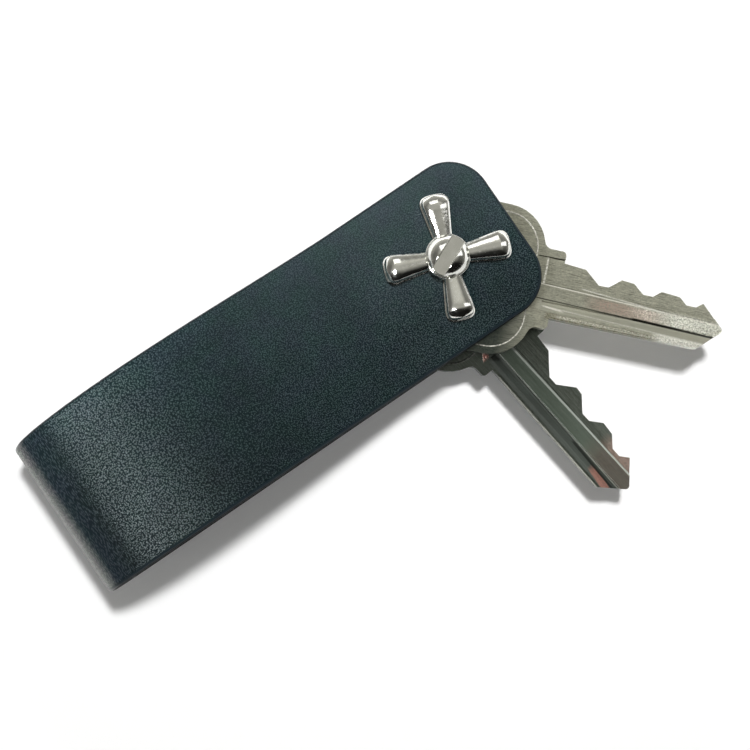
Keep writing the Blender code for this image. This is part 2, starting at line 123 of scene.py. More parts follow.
def cutMesh(name, mesh, cutters, operation):
    # The mesh with closed cutters taken away or added by exact Booleans.
    target = newObject(name + "Work", mesh)
    helpers = []
    for i, cutter in enumerate(cutters):
        helper = newObject(name + "Cutter" + str(i), cutter)
        step = target.modifiers.new("cut" + str(i), "BOOLEAN")
        step.operation = operation
        step.solver = "EXACT"
        step.object = helper
        helpers.append(helper)
    bpy.context.view_layer.update()
    made = bpy.data.meshes.new_from_object(target.evaluated_get(bpy.context.evaluated_depsgraph_get()))
    for old in [target, *helpers]:
        bpy.data.objects.remove(old)
    made.name = name
    return made


# ---- materials
def newMaterial(name, colour, roughness, metallic):
    made = bpy.data.materials.new(name)
    made.use_nodes = True
    shader = made.node_tree.nodes["Principled BSDF"]
    shader.inputs["Base Color"].default_value = (*colour, 1)
    shader.inputs["Roughness"].default_value = roughness
    shader.inputs["Metallic"].default_value = metallic
    return made, made.node_tree, shader


def addNode(tree, kind, inputs=None, **settings):
    # A node with its settings; an input is a value or another node's output.
    node = tree.nodes.new(kind)
    for key, value in settings.items():
        setattr(node, key, value)
    for key, value in (inputs or {}).items():
        if isinstance(value, bpy.types.NodeSocket):
            tree.links.new(value, node.inputs[key])
        else:
            node.inputs[key].default_value = value
    return node


def feed(tree, shader, outputs):
    for key, output in outputs.items():
        tree.links.new(output, shader.inputs[key])


def mixColours(tree, factor, first, second, mode="MIX"):
    # A colour is a triple of numbers or another node's output.
    first, second = ((*c, 1) if isinstance(c, tuple) else c for c in (first, second))
    inputs = {0: factor, 6: first, 7: second}
    return addNode(tree, "ShaderNodeMix", inputs, data_type="RGBA", blend_type=mode).outputs[2]


def mixValues(tree, factor, first, second):
    return addNode(tree, "ShaderNodeMix", {0: factor, 2: first, 3: second}, data_type="FLOAT").outputs[0]


def spread(tree, value, low, high, newLow=0.0, newHigh=1.0, **settings):
    # The value with its range low to high carried over to the new one, and held at its ends.
    inputs = {0: value, 1: low, 2: high, 3: newLow, 4: newHigh}
    return addNode(tree, "ShaderNodeMapRange", inputs, **settings).outputs[0]


def byMask(tree, mask, none, whole):
    # none where the mask is 0, whole where it is 1.
    return spread(tree, mask, 0.0, 1.0, none, whole)


def between(tree, value, rise, full, fall, none):
    # 0 before rise, 1 from full to fall, 0 again past none.
    return times(tree, spread(tree, value, rise, full), spread(tree, value, none, fall))


def mathNode(tree, operation, *inputs):
    return addNode(tree, "ShaderNodeMath", dict(enumerate(inputs)), operation=operation).outputs[0]


def times(tree, first, second):
    return mathNode(tree, "MULTIPLY", first, second)


def vectorMath(tree, operation, *inputs):
    node = addNode(tree, "ShaderNodeVectorMath", dict(enumerate(inputs)), operation=operation)
    return node.outputs["Value" if operation in ("LENGTH", "DISTANCE", "DOT_PRODUCT") else "Vector"]


def brightened(tree, colour, amount):
    return addNode(tree, "ShaderNodeVectorMath", {0: colour, "Scale": amount}, operation="SCALE").outputs[0]


def stretched(tree, vector, scale):
    return addNode(tree, "ShaderNodeMapping", {"Vector": vector, "Scale": scale}).outputs[0]


def objectPlace(tree):
    return addNode(tree, "ShaderNodeTexCoord").outputs["Object"]


def noise(tree, vector, scale, detail=3.0, rough=0.55):
    inputs = {"Vector": vector, "Scale": scale, "Detail": detail, "Roughness": rough}
    return addNode(tree, "ShaderNodeTexNoise", inputs).outputs[0]


def bumped(tree, height, distance, strength=1.0):
    return addNode(tree, "ShaderNodeBump", {"Height": height, "Distance": distance, "Strength": strength}).outputs[0]


def roundedReach(tree, place, middle, halfSize, corner):
    # Reach past the corner centres of a rounded rectangle, which is the corner's radius on its outline:
    # length(max(|place - middle| - half + corner, 0)), with a third half so large that height plays no part.
    away = vectorMath(tree, "ABSOLUTE", vectorMath(tree, "SUBTRACT", place, (*middle, 0)))
    away = vectorMath(tree, "SUBTRACT", away, (halfSize[0] - corner, halfSize[1] - corner, 1000.0))
    return vectorMath(tree, "LENGTH", vectorMath(tree, "MAXIMUM", away, (0, 0, 0)))


leatherLook = {
    "creaseColour": (0.0045, 0.01, 0.0115),
    "topColour": (0.028, 0.048, 0.051),
    "foldTopColour": (0.019, 0.034, 0.044),
    # painted sheen: the fold's rim painted pale, where it catches the light at a grazing angle
    "paintedRimSheenColour": (0.95, 0.93, 0.8),
    "paintedLightColour": (0.038, 0.057, 0.06),  # painted light by the clamped end's upper edge, where it leaves the grain nearly flat
    "coatColour": (0.0125, 0.021, 0.026),
    "purple": (1.07, 0.96, 1.07),
    "green": (0.95, 1.04, 0.98),
    "specular": (0.08, 0.5),  # in the creases and on the tops of the grain
    "foldSpecular": 0.4,  # share of it on the fold
    "coatSpecular": 0.5,  # and on the edge paint
    "specularTint": (0.85, 1.0, 1.0, 1.0),
    "roughness": (0.52, 0.38),  # in the creases and on the tops of the grain
    "grainSize": 0.275,  # mm
    "grainHeight": 0.035 * mm,
    "grainTop": (0.5, 0.08),  # distance from a pebble's middle where its top begins and where it is whole
    "drawnScale": (1.3, 0.33, 1.0),  # of the grain on the bend, drawn out across the strap
    "fineScale": (1.25, 1.25, 1.0),  # of the grain on the flat leaf
    # mm along the strap: a change begins, is whole, lets go again, is over
    "drawn": (73.2, 76.2, 79.5, 82.0),
    "fold": (72.0, 77.5, 100.0, 106.0),
    "foldRim": (79.0, 84.4, 84.9, 88.5),  # the fold's rim, painted pale as painted sheen
    "leaf": (60.0, 40.0),
    "foldRimShare": 0.6,
    "foldRimSpecular": 0.6,
    "foldRimSheen": 0.8,
    "paintedRimSheenInCreases": 0.25,
    # brightness or share: from and to in mm, and what it is at each; the middle's is added to 1. The brightness
    # across, in the middle, at the upper edge and at the clamped end is painted light.
    "acrossShade": (4.0, 25.0, 0.96, 1.42),
    "middleAlong": (40.0, 56.0),
    "middleAcross": (3.0, 25.0, -0.24, 0.34),
    "upperEdge": (21.5, 25.4, 1.0, 1.25),
    "clampedEnd": (5.0, 0.0, 1.0, 1.3),
    "leafShade": 1.08,
    "foldShare": (74.5, 79.5, 0.0, 0.55),
    "paintedLightAlong": (56.0, 16.0),
    "paintedLightAcross": (7.0, 24.0, 0.0, 0.7),
    # mm of edge paint lapping onto the face on the lower and the upper side, and where across it changes
    "coatWidth": (0.42, 0.22),
    "coatChange": (8.0, 20.0),
    "coatEdge": (-0.04, 0.04),
    "coatHeight": 0.3,  # as a distance from a pebble's middle
    "seam": (-0.14, -0.08, -0.02, 0.06),
    "seamShare": 0.7,
}


def grainCells(tree, place, seed, wander):
    # Distance from the middle of the nearest pebble, 0 to about 1; the pebbles' outlines wander.
    size = 1 / leatherLook["grainSize"]
    shifted = vectorMath(tree, "ADD", place, (seed, 0, 0))
    wobble = noise(tree, shifted, size * 1.3, 2.0).node.outputs["Color"]
    bent = vectorMath(tree, "MULTIPLY_ADD", wobble, (wander, wander, 0), shifted)
    kind = {"feature": "SMOOTH_F1", "voronoi_dimensions": "2D"}
    cells = addNode(tree, "ShaderNodeTexVoronoi", {"Vector": bent, "Scale": size, "Smoothness": 0.2}, **kind)
    uneven = spread(tree, noise(tree, shifted, size * 1.1, 1.0), 0.3, 0.7, -0.07, 0.07)
    return mathNode(tree, "ADD", cells.outputs["Distance"], uneven)


def grainedLeather(name, length, width, corner):
    # Fine pebbled grain in the strap's own flat coordinates, in mm; on the bend it is drawn out across the strap.
    look = leatherLook
    made, tree, shader = newMaterial(name, look["creaseColour"], 0.5, 0.0)
    shader.inputs["Specular Tint"].default_value = look["specularTint"]
    flat = addNode(tree, "ShaderNodeUVMap", uv_map="flatUV").outputs[0]
    place = stretched(tree, flat, (length, width, 1))
    along, across = addNode(tree, "ShaderNodeSeparateXYZ", {0: place}).outputs[:2]
    start, full, fall, none = look["drawn"]
    onBend = times(tree, spread(tree, along, start, full), spread(tree, along, fall, none, 1.0, 0.1))
    onLeaf = spread(tree, along, *look["leaf"])
    onFold = between(tree, along, *look["fold"])
    foldRim = times(tree, between(tree, along, *look["foldRim"]), look["foldRimShare"])
    offFoldRim = mathNode(tree, "SUBTRACT", 1.0, foldRim)
    fine = grainCells(tree, stretched(tree, place, look["fineScale"]), 57.0, 0.4)
    drawn = grainCells(tree, stretched(tree, place, look["drawnScale"]), 31.0, 0.25)
    cells = mixValues(tree, onLeaf, grainCells(tree, place, 0.0, 0.45), spread(tree, fine, 0.0, 0.58, -0.1, 0.68))
    cells = mixValues(tree, onBend, cells, drawn)
    # Edge paint laps onto the face; a fine line parts it from the grain.
    middle = (length / 2, width / 2)
    lap = spread(tree, across, *look["coatChange"], *(w - corner for w in look["coatWidth"]))
    inside = mathNode(tree, "ADD", roundedReach(tree, place, middle, middle, corner), lap)
    coat = spread(tree, inside, *look["coatEdge"])
    seam = times(tree, between(tree, inside, *look["seam"]), times(tree, offFoldRim, look["seamShare"]))
    cells = mixValues(tree, coat, cells, look["coatHeight"])
    ripple = times(tree, noise(tree, place, 0.3, 2.0), 0.8)
    tops = spread(tree, cells, *look["grainTop"], interpolation_type="SMOOTHSTEP")
    gloss = times(tree, byMask(tree, tops, *look["specular"]), byMask(tree, onFold, 1.0, look["foldSpecular"]))
    gloss = times(tree, gloss, byMask(tree, coat, 1.0, look["coatSpecular"]))
    # Painted light: lighter towards the upper edge and the clamped end, lighter above and darker below in the middle
    # of the leaf, as the light falls there; the clouds are the leather's own tone. By the clamped end's upper edge a
    # flat painted light colour makes it smoother.
    clouds = spread(tree, noise(tree, place, 0.1, 3.0), 0.3, 0.7, 0.75, 1.15)
    shade = times(tree, clouds, spread(tree, across, *look["acrossShade"]))
    sideways = times(tree, spread(tree, along, *look["middleAlong"]), spread(tree, across, *look["middleAcross"]))
    shade = times(tree, shade, mathNode(tree, "ADD", sideways, 1.0))
    edges = times(tree, spread(tree, across, *look["upperEdge"]), spread(tree, along, *look["clampedEnd"]))
    shade = times(tree, times(tree, shade, edges), byMask(tree, onLeaf, 1.0, look["leafShade"]))
    # Grain colour: darker creases and paler tops, partly the leather's own and partly painted shade in the creases
    # and painted light on the tops.
    topColour = mixColours(tree, onFold, look["topColour"], look["foldTopColour"])
    colour = brightened(tree, mixColours(tree, tops, look["creaseColour"], topColour), shade)
    colour = mixColours(tree, spread(tree, along, *look["foldShare"]), colour, look["foldTopColour"])
    paintedLight = times(tree, spread(tree, along, *look["paintedLightAlong"]), spread(tree, across, *look["paintedLightAcross"]))
    colour = mixColours(tree, paintedLight, colour, brightened(tree, look["paintedLightColour"], edges))
    # Painted sheen: the fold's rim painted pale where it catches the light at a grazing angle, less in the creases.
    paintedRimSheen = times(tree, foldRim, byMask(tree, tops, look["paintedRimSheenInCreases"], 1.0))
    colour = mixColours(tree, paintedRimSheen, colour, look["paintedRimSheenColour"])
    colour = mixColours(tree, times(tree, coat, offFoldRim), colour, look["coatColour"])
    colour = mixColours(tree, seam, colour, look["creaseColour"])
    tint = mixColours(tree, spread(tree, noise(tree, place, 0.28, 2.0), 0.36, 0.64), look["purple"], look["green"])
    outputs = {
        "Normal": bumped(tree, mathNode(tree, "SUBTRACT", ripple, cells), look["grainHeight"]),
        "Specular IOR Level": mathNode(tree, "MAXIMUM", gloss, times(tree, foldRim, look["foldRimSpecular"])),
        "Sheen Weight": times(tree, foldRim, look["foldRimSheen"]),
        "Base Color": mixColours(tree, 1.0, colour, tint, "MULTIPLY"),
        "Roughness": spread(tree, tops, 0.1, 0.9, *look["roughness"]),
    }
    feed(tree, shader, outputs)
    return made


def smoothLeather(name, colour, roughness, scale, height, specular):
    made, tree, shader = newMaterial(name, colour, roughness, 0.0)
    shader.inputs["Specular IOR Level"].default_value = specular
    fine = noise(tree, objectPlace(tree), scale, 5.0, 0.65)
    darker = tuple(0.7 * c for c in colour)
    lighter = tuple(1.35 * c for c in colour)
    outputs = {
        "Normal": bumped(tree, fine, height),
        "Base Color": mixColours(tree, fine, darker, lighter),
        "Roughness": spread(tree, fine, 0.3, 0.7, roughness - 0.08, roughness + 0.08),
    }
    feed(tree, shader, outputs)
    return made


def polishedChrome(name):
    # Bright plating over a polished casting: faint unevenness and fine haze.
    made, tree, shader = newMaterial(name, (0.85, 0.85, 0.8), 0.07, 1.0)
    place = objectPlace(tree)
    waves = noise(tree, place, 420.0, 2.0)
    haze = noise(tree, place, 2600.0, 4.0)
    dimples = mathNode(tree, "MULTIPLY_ADD", noise(tree, place, 1300.0, 2.0), 0.4, waves)
    outputs = {
        "Normal": bumped(tree, dimples, 0.05 * mm, 0.6),
        "Roughness": spread(tree, haze, 0.35, 0.75, 0.07, 0.2),
        "Base Color": mixColours(tree, spread(tree, waves, 0.3, 0.7), (0.9, 0.9, 0.86), (0.79, 0.79, 0.74)),
    }
    feed(tree, shader, outputs)
    return made


def keyMark(tree, along, across, specks, mark):
    # A straight mark between two places on the key, in mm, with soft sides and softer ends; specks break it up.
    (startAlong, startAcross), (endAlong, endAcross), half, soft, share, broken = mark[:6]
    middle = spread(tree, along, startAlong, endAlong, startAcross, endAcross, clamp=False)
    off = mathNode(tree, "ABSOLUTE", mathNode(tree, "SUBTRACT", across, middle))
    run = 4 * soft
    onLength = between(tree, along, startAlong - run, startAlong + run, endAlong - run, endAlong + run)
    inside = times(tree, spread(tree, off, half + soft, half), onLength)
    return times(tree, inside, byMask(tree, specks, share * (1 - broken), share))


def wearAndPaintedLightNickel(name, look):
    # Nickel silver brushed along the key: object coordinates turned into the key's own direction, in mm.
    # Its marks are partly real wear, dirt and copper and partly painted highlights, shadows and glints along the
    # milled edges.
    made, tree, shader = newMaterial(name, look["colour"], 0.34, 1.0)
    turned = {"Vector": objectPlace(tree), "Rotation": (0, 0, -look["turn"]), "Scale": (1000, 1000, 1000)}
    keyPlace = addNode(tree, "ShaderNodeMapping", turned).outputs[0]
    along, across = addNode(tree, "ShaderNodeSeparateXYZ", {0: keyPlace}).outputs[:2]
    lines = noise(tree, stretched(tree, keyPlace, (0.12, 7.0, 1.0)), 1.0, 4.0, 0.6)
    scored = noise(tree, stretched(tree, keyPlace, (0.9, 9.0, 9.0)), 1.0, 2.0, 0.6)
    grit = noise(tree, keyPlace, 3.6, 3.0, 0.65)
    clouds = noise(tree, keyPlace, 0.35, 3.0)
    base = mixColours(tree, spread(tree, lines, 0.3, 0.7), look["dark"], look["colour"])
    base = mixColours(tree, spread(tree, clouds, 0.42, 0.7, 0.0, 0.45), base, look["dark"])
    base = mixColours(tree, spread(tree, grit, 0.3, 0.7, 0.35, 0.0), base, (0.05, 0.05, 0.045))
    base = mixColours(tree, spread(tree, scored, 0.34, 0.5, 0.5, 0.0), base, (0.08, 0.08, 0.07))
    specks = spread(tree, grit, 0.42, 0.62)
    masks = {"matt": 0.0, "rough": 0.0}
    for mark in look["marks"]:
        mask = keyMark(tree, along, across, specks, mark)
        colour, *finishes = mark[6:]
        base = mixColours(tree, mask, base, colour)
        for finish in finishes:
            masks[finish] = mathNode(tree, "MAXIMUM", masks[finish], mask)
    # A painted highlight along the outline of the bow's sunk panel, where its edge catches the light, broken up by
    # specks.
    corner = bow["corner"]
    middle = (bow["length"] / 2 - bow["back"], bow["offset"])
    away = roundedReach(tree, keyPlace, middle, (bow["length"] / 2, bow["width"] / 2), corner)
    outline = between(tree, away, *(corner + edge for edge in bow["outline"]))
    outline = times(tree, outline, spread(tree, grit, 0.38, 0.58, 0.25, 1.0))
    base = mixColours(tree, outline, base, look["outline"])
    matt = mathNode(tree, "MAXIMUM", masks["matt"], outline)
    pitted = times(tree, grit, spread(tree, masks["rough"], 0.0, 0.6, 0.15, 1.3))
    brushed = spread(tree, lines, 0.25, 0.75, 0.27, 0.42)
    outputs = {
        # painted shade: the key darker towards its bow, where it lies by the strap and under the other key
        "Base Color": brightened(tree, base, spread(tree, along, *look["paintedShadeTowardsBow"])),
        "Normal": bumped(tree, mathNode(tree, "ADD", times(tree, lines, 0.35), pitted), 0.05 * mm),
        "Metallic": byMask(tree, matt, 1.0, 0.25),
        "Roughness": mathNode(tree, "ADD", brushed, byMask(tree, matt, 0.0, 0.2)),
    }
    feed(tree, shader, outputs)
    return made


def nylon(name):
    made, tree, shader = newMaterial(name, (0.035, 0.035, 0.037), 0.5, 0.0)
    fine = noise(tree, objectPlace(tree), 1800.0, 4.0)
    outputs = {
        "Normal": bumped(tree, fine, 0.02 * mm),
        "Base Color": mixColours(tree, fine, (0.028, 0.028, 0.03), (0.045, 0.045, 0.047)),
    }
    feed(tree, shader, outputs)
    return made


# ---- strap
strap = {
    "width": 25.4 * mm,
    "endReach": 11.2 * mm,
    "cornerRadius": 6.3 * mm,
    "outerThickness": 1.2 * mm,
    "liningStart": 1.5 * mm,
    "wholeThickness": 2.3 * mm,
    "outerRound": 0.6 * mm,
    "liningRound": 0.45 * mm,
    "frontZ": 13.3 * mm,
    "rearZ": 1.5 * mm,
    "clampFlat": 12.0 * mm,
    "foldReach": 68.7 * mm,
    "loopRise": 6.7 * mm,
    "crestFromFold": 20.3 * mm,
    "lowFromFold": 11.2 * mm,
    "foldDrop": 5.0 * mm,
    "crestEase": 10.2 * mm,
    "foldEase": 7.8 * mm,
    "lowEase": 7.2 * mm,
    "leafEase": 8.0 * mm,
    "creaseInset": 1.15 * mm,
    "creaseWidth": 0.16 * mm,
    "creaseDepth": 0.04 * mm,
    "holeRadius": 2.6 * mm,
}


def bezierPoints(start, leave, arrive, end, count):
    # A cubic curve: ends and handles weighted by (1 - t)^3, 3 (1 - t)^2 t, 3 (1 - t) t^2 and t^3.
    t = np.linspace(0, 1, count)[:, None]
    start, leave, arrive, end = (np.array(p) for p in (start, leave, arrive, end))
    return (1 - t) ** 3 * start + 3 * (1 - t) ** 2 * t * leave + 3 * (1 - t) * t**2 * arrive + t**3 * end


def strapLine():
    # The outer face seen from the side: flat front leaf, four eased curves round the loop, flat rear leaf.
    s = strap
    crest = (s["crestFromFold"] - s["foldReach"], s["frontZ"] + s["loopRise"])
    fold = (-s["foldReach"], s["frontZ"] - s["foldDrop"])
    low = (s["lowFromFold"] - s["foldReach"], 0.0)
    flat = -s["clampFlat"]
    crestHandle = s["crestEase"] * math.sqrt(s["loopRise"] / (crest[1] - fold[1] - s["foldEase"]))
    foldHandle = s["foldEase"] * math.sqrt((s["lowFromFold"] - s["lowEase"]) / (s["crestFromFold"] - s["crestEase"]))
    curves = (
        ((flat, s["frontZ"]), (flat - s["leafEase"], s["frontZ"]), (crest[0] + crestHandle, crest[1]), crest),
        (crest, (crest[0] - s["crestEase"], crest[1]), (fold[0], fold[1] + s["foldEase"]), fold),
        (fold, (fold[0], fold[1] - foldHandle), (low[0] - s["lowEase"], low[1]), low),
        (low, (low[0] + s["leafEase"], low[1]), (flat - s["leafEase"], s["rearZ"]), (flat, s["rearZ"])),
    )
    parts = [np.linspace((s["endReach"], s["frontZ"]), (flat, s["frontZ"]), 60)]
    parts += [bezierPoints(*curve, 400)[1:] for curve in curves]
    parts.append(np.linspace((flat, s["rearZ"]), (s["endReach"], s["rearZ"]), 60)[1:])
    line = np.concatenate(parts)
    run = np.concatenate([[0], np.cumsum(np.linalg.norm(np.diff(line, axis=0), axis=1))])
    way = np.gradient(line, run, axis=0)
    return line, run, way / np.linalg.norm(way, axis=1)[:, None]


pathLine, pathRun, pathWay = strapLine()
strapLength = pathRun[-1]


def strapPoint(along, across, depth):
    # A place in the strap from its distance along, its place across and its depth below the outer face.
    x, z, wayX, wayZ = (np.interp(along, pathRun, known) for known in (*pathLine.T, *pathWay.T))
    return np.stack([x - wayZ * depth, across + 0 * x, z + wayX * depth], axis=-1)


def edgeDistance(along, across):
    # Distance to the strap's outline, a long rectangle with round corners.
    fromEnd = np.minimum(along, strapLength - along)
    fromSide = strap["width"] / 2 - np.abs(across)
    r = strap["cornerRadius"]
    inCorner = (fromEnd < r) & (fromSide < r)
    corner = r - np.hypot(r - fromEnd, r - fromSide)
    return np.maximum(np.where(inCorner, corner, np.minimum(fromEnd, fromSide)), 0)


def strapLayer(name, nearDepth, farDepth, edgeRound, roundNear, stations, columns):
    # Two faces over the same flat grid, joined along the outline. The rounded face sinks by
    # round - sqrt(round^2 - (round - distance)^2) within its rounding of the outline.
    s = strap
    r = s["cornerRadius"]
    small = edgeRound * (1 - np.cos(np.linspace(0, np.pi / 2, 9)))
    crease = s["creaseInset"] + s["creaseWidth"] * np.linspace(-2, 2, 9)
    ends = np.concatenate([r * (1 - np.cos(cornerTurn)), small, crease])
    stops = [np.linspace(0, strapLength, stations), ends, strapLength - ends]
    along = np.unique(np.round(np.concatenate(stops), 7))
    fromEnd = np.minimum(np.minimum(along, strapLength - along), r)
    half = s["width"] / 2 - r + np.sqrt(np.maximum(r**2 - (r - fromEnd) ** 2, 0))
    inset = np.unique(np.concatenate([small, crease]))
    side = half[:, None] - inset
    middle = np.linspace(-1, 1, columns)[1:-1]
    across = np.concatenate([-side, side[:, -1:] * middle, side[:, ::-1]], axis=1)
    alongGrid = along[:, None] + 0 * across
    distance = edgeDistance(alongGrid, across)
    short = np.maximum(edgeRound - distance, 0)
    sink = edgeRound - np.sqrt(np.maximum(edgeRound**2 - short**2, 0))
    pressed = s["creaseDepth"] * np.exp(-(((distance - s["creaseInset"]) / s["creaseWidth"]) ** 2))
    near = nearDepth + (sink + pressed if roundNear else 0 * sink)
    far = farDepth - (0 * sink if roundNear else sink)
    nearPoints, farPoints = (strapPoint(alongGrid, across, depth) for depth in (near, far))
    points = np.concatenate([nearPoints, farPoints[:, ::-1]], axis=1)
    uvNear = np.stack([alongGrid / strapLength, across / s["width"] + 0.5], axis=-1)
    uv = np.concatenate([uvNear, uvNear[:, ::-1]], axis=1)
    rows, count = points.shape[:2]
    faces = gridFaces(rows, count, True)
    j = np.arange(count // 2 - 1)
    for start in (0, (rows - 1) * count):
        cap = np.stack([start + j, start + j + 1, start + count - 2 - j, start + count - 1 - j], axis=1)
        faces = np.concatenate([faces, cap])
    mesh = meshFrom(name, points, faces, uv)
    bore = rod(name + "Bore", s["holeRadius"], -2 * mm, 16 * mm, boreSteps)
    return cutMesh(name, mesh, [bore], "DIFFERENCE")


edgeCoat = {"middle": 1.2 * mm, "halfHeight": 0.88 * mm, "bulge": 0.11 * mm, "root": 0.25 * mm}


def strapEdge(name, stations, around):
    # A domed band of edge paint: an oval profile carried along the strap's rounded outline.
    r = strap["cornerRadius"]
    halfWidth = strap["width"] / 2
    straight = np.linspace(r, strapLength - r, stations)
    turn = cornerTurn[1:-1]
    corner = np.stack([r * (1 - np.cos(turn)), halfWidth - r * (1 - np.sin(turn))], axis=1)
    cornerWay = np.stack([-np.cos(turn), np.sin(turn)], axis=1)
    end = np.linspace(-(halfWidth - r), halfWidth - r, 20)
    farCorner, farWay = (strapLength, 0) + corner * (-1, 1), cornerWay * (-1, 1)

    def straightSide(along, across, way):
        side = np.stack(np.broadcast_arrays(along, across), axis=1)
        return side, np.tile(way, (len(side), 1))

    sides = [
        straightSide(0, end, (-1, 0)),
        (corner, cornerWay),
        straightSide(straight, halfWidth, (0, 1)),
        (farCorner[::-1], farWay[::-1]),
        straightSide(strapLength, -end, (1, 0)),
        (farCorner * (1, -1), farWay * (1, -1)),
        straightSide(straight[::-1], -halfWidth, (0, -1)),
        (corner[::-1] * (1, -1), cornerWay[::-1] * (1, -1)),
    ]
    place = np.concatenate([side[0] for side in sides])
    outward = np.concatenate([side[1] for side in sides])
    a = np.linspace(0, 2 * np.pi, around, endpoint=False)
    c, s = np.cos(a), np.sin(a)
    bulge, root = edgeCoat["bulge"], edgeCoat["root"]
    out = np.where(c > 0, (bulge + root) * np.abs(c) ** 0.7 - root, 0.4 * root * c - root)
    depth = edgeCoat["middle"] + edgeCoat["halfHeight"] * np.sign(s) * np.abs(s) ** 0.8
    along = place[:, :1] + outward[:, :1] * out
    across = place[:, 1:] + outward[:, 1:] * out
    beyond = along - np.clip(along, 0, strapLength)  # the ends' bulge runs on past the strap
    points = strapPoint(np.clip(along, 0, strapLength), across, depth + 0 * along)
    points[..., 0] += np.where(along < 0, -beyond, beyond)
    count = len(place)
    points = np.concatenate([points, points[:1]])
    return meshFrom(name, points, gridFaces(count + 1, around, True))


grain = grainedLeather("grained_leather", strapLength / mm, strap["width"] / mm, strap["cornerRadius"] / mm)
liningFinish = smoothLeather("lining_finish", (0.018, 0.02, 0.021), 0.62, 900.0, 0.04 * mm, 0.25)
edgeFinish = smoothLeather("edge_paint", (0.01, 0.014, 0.016), 0.5, 500.0, 0.03 * mm, 0.02)
outer = strapLayer("outerLeather", 0.0, strap["outerThickness"], strap["outerRound"], True, 420, 50)
addPiece("outerLeather", outer, "strap", grain, ["outer_leather"])
lining = strapLayer(
    "liningLeather", strap["liningStart"], strap["wholeThickness"], strap["liningRound"], False, 260, 24
)
addPiece("liningLeather", lining, "strap", liningFinish, ["lining_leather"])
addPiece("paintedEdge", strapEdge("paintedEdge", 420, 28), "strap", edgeFinish)
print("strap done")


# ---- knob
knob = {
    "baseZ": 13.6 * mm,
    "armCount": 4,
    "armAngle": math.radians(69.0),
    "armReach": 9.5 * mm,
    "rootWidth": 2.4 * mm,
    "tipWidth": 4.3 * mm,
    "rootHeight": 1.4 * mm,
    "tipHeight": 2.5 * mm,
    "tipRound": 1.7 * mm,
    "tipSquareness": 3.2,
    "crownRound": 2.3 * mm,  # length of the crown's fall at the tip
    "crownSlope": math.radians(40),  # its steepness at the very tip
    "capSlope": math.radians(37),  # steepness of the rounded top where the side wall begins
    "wallDraft": 0.12 * mm,
    "wallRound": 0.1 * mm,
    "rimWidth": 0.17 * mm,
    "rimHeight": 0.3 * mm,
    "rimStep": 0.04 * mm,  # the wall starts this much under the rim's top
    "rimSlope": math.radians(43),
    "hubRadius": 3.35 * mm,
    "hubHeight": 1.5 * mm,
    "hubRound": 0.3 * mm,
    "boreRadius": 1.6 * mm,
    "seatRadius": 3.15 * mm,
    "sharp": math.radians(32),
}


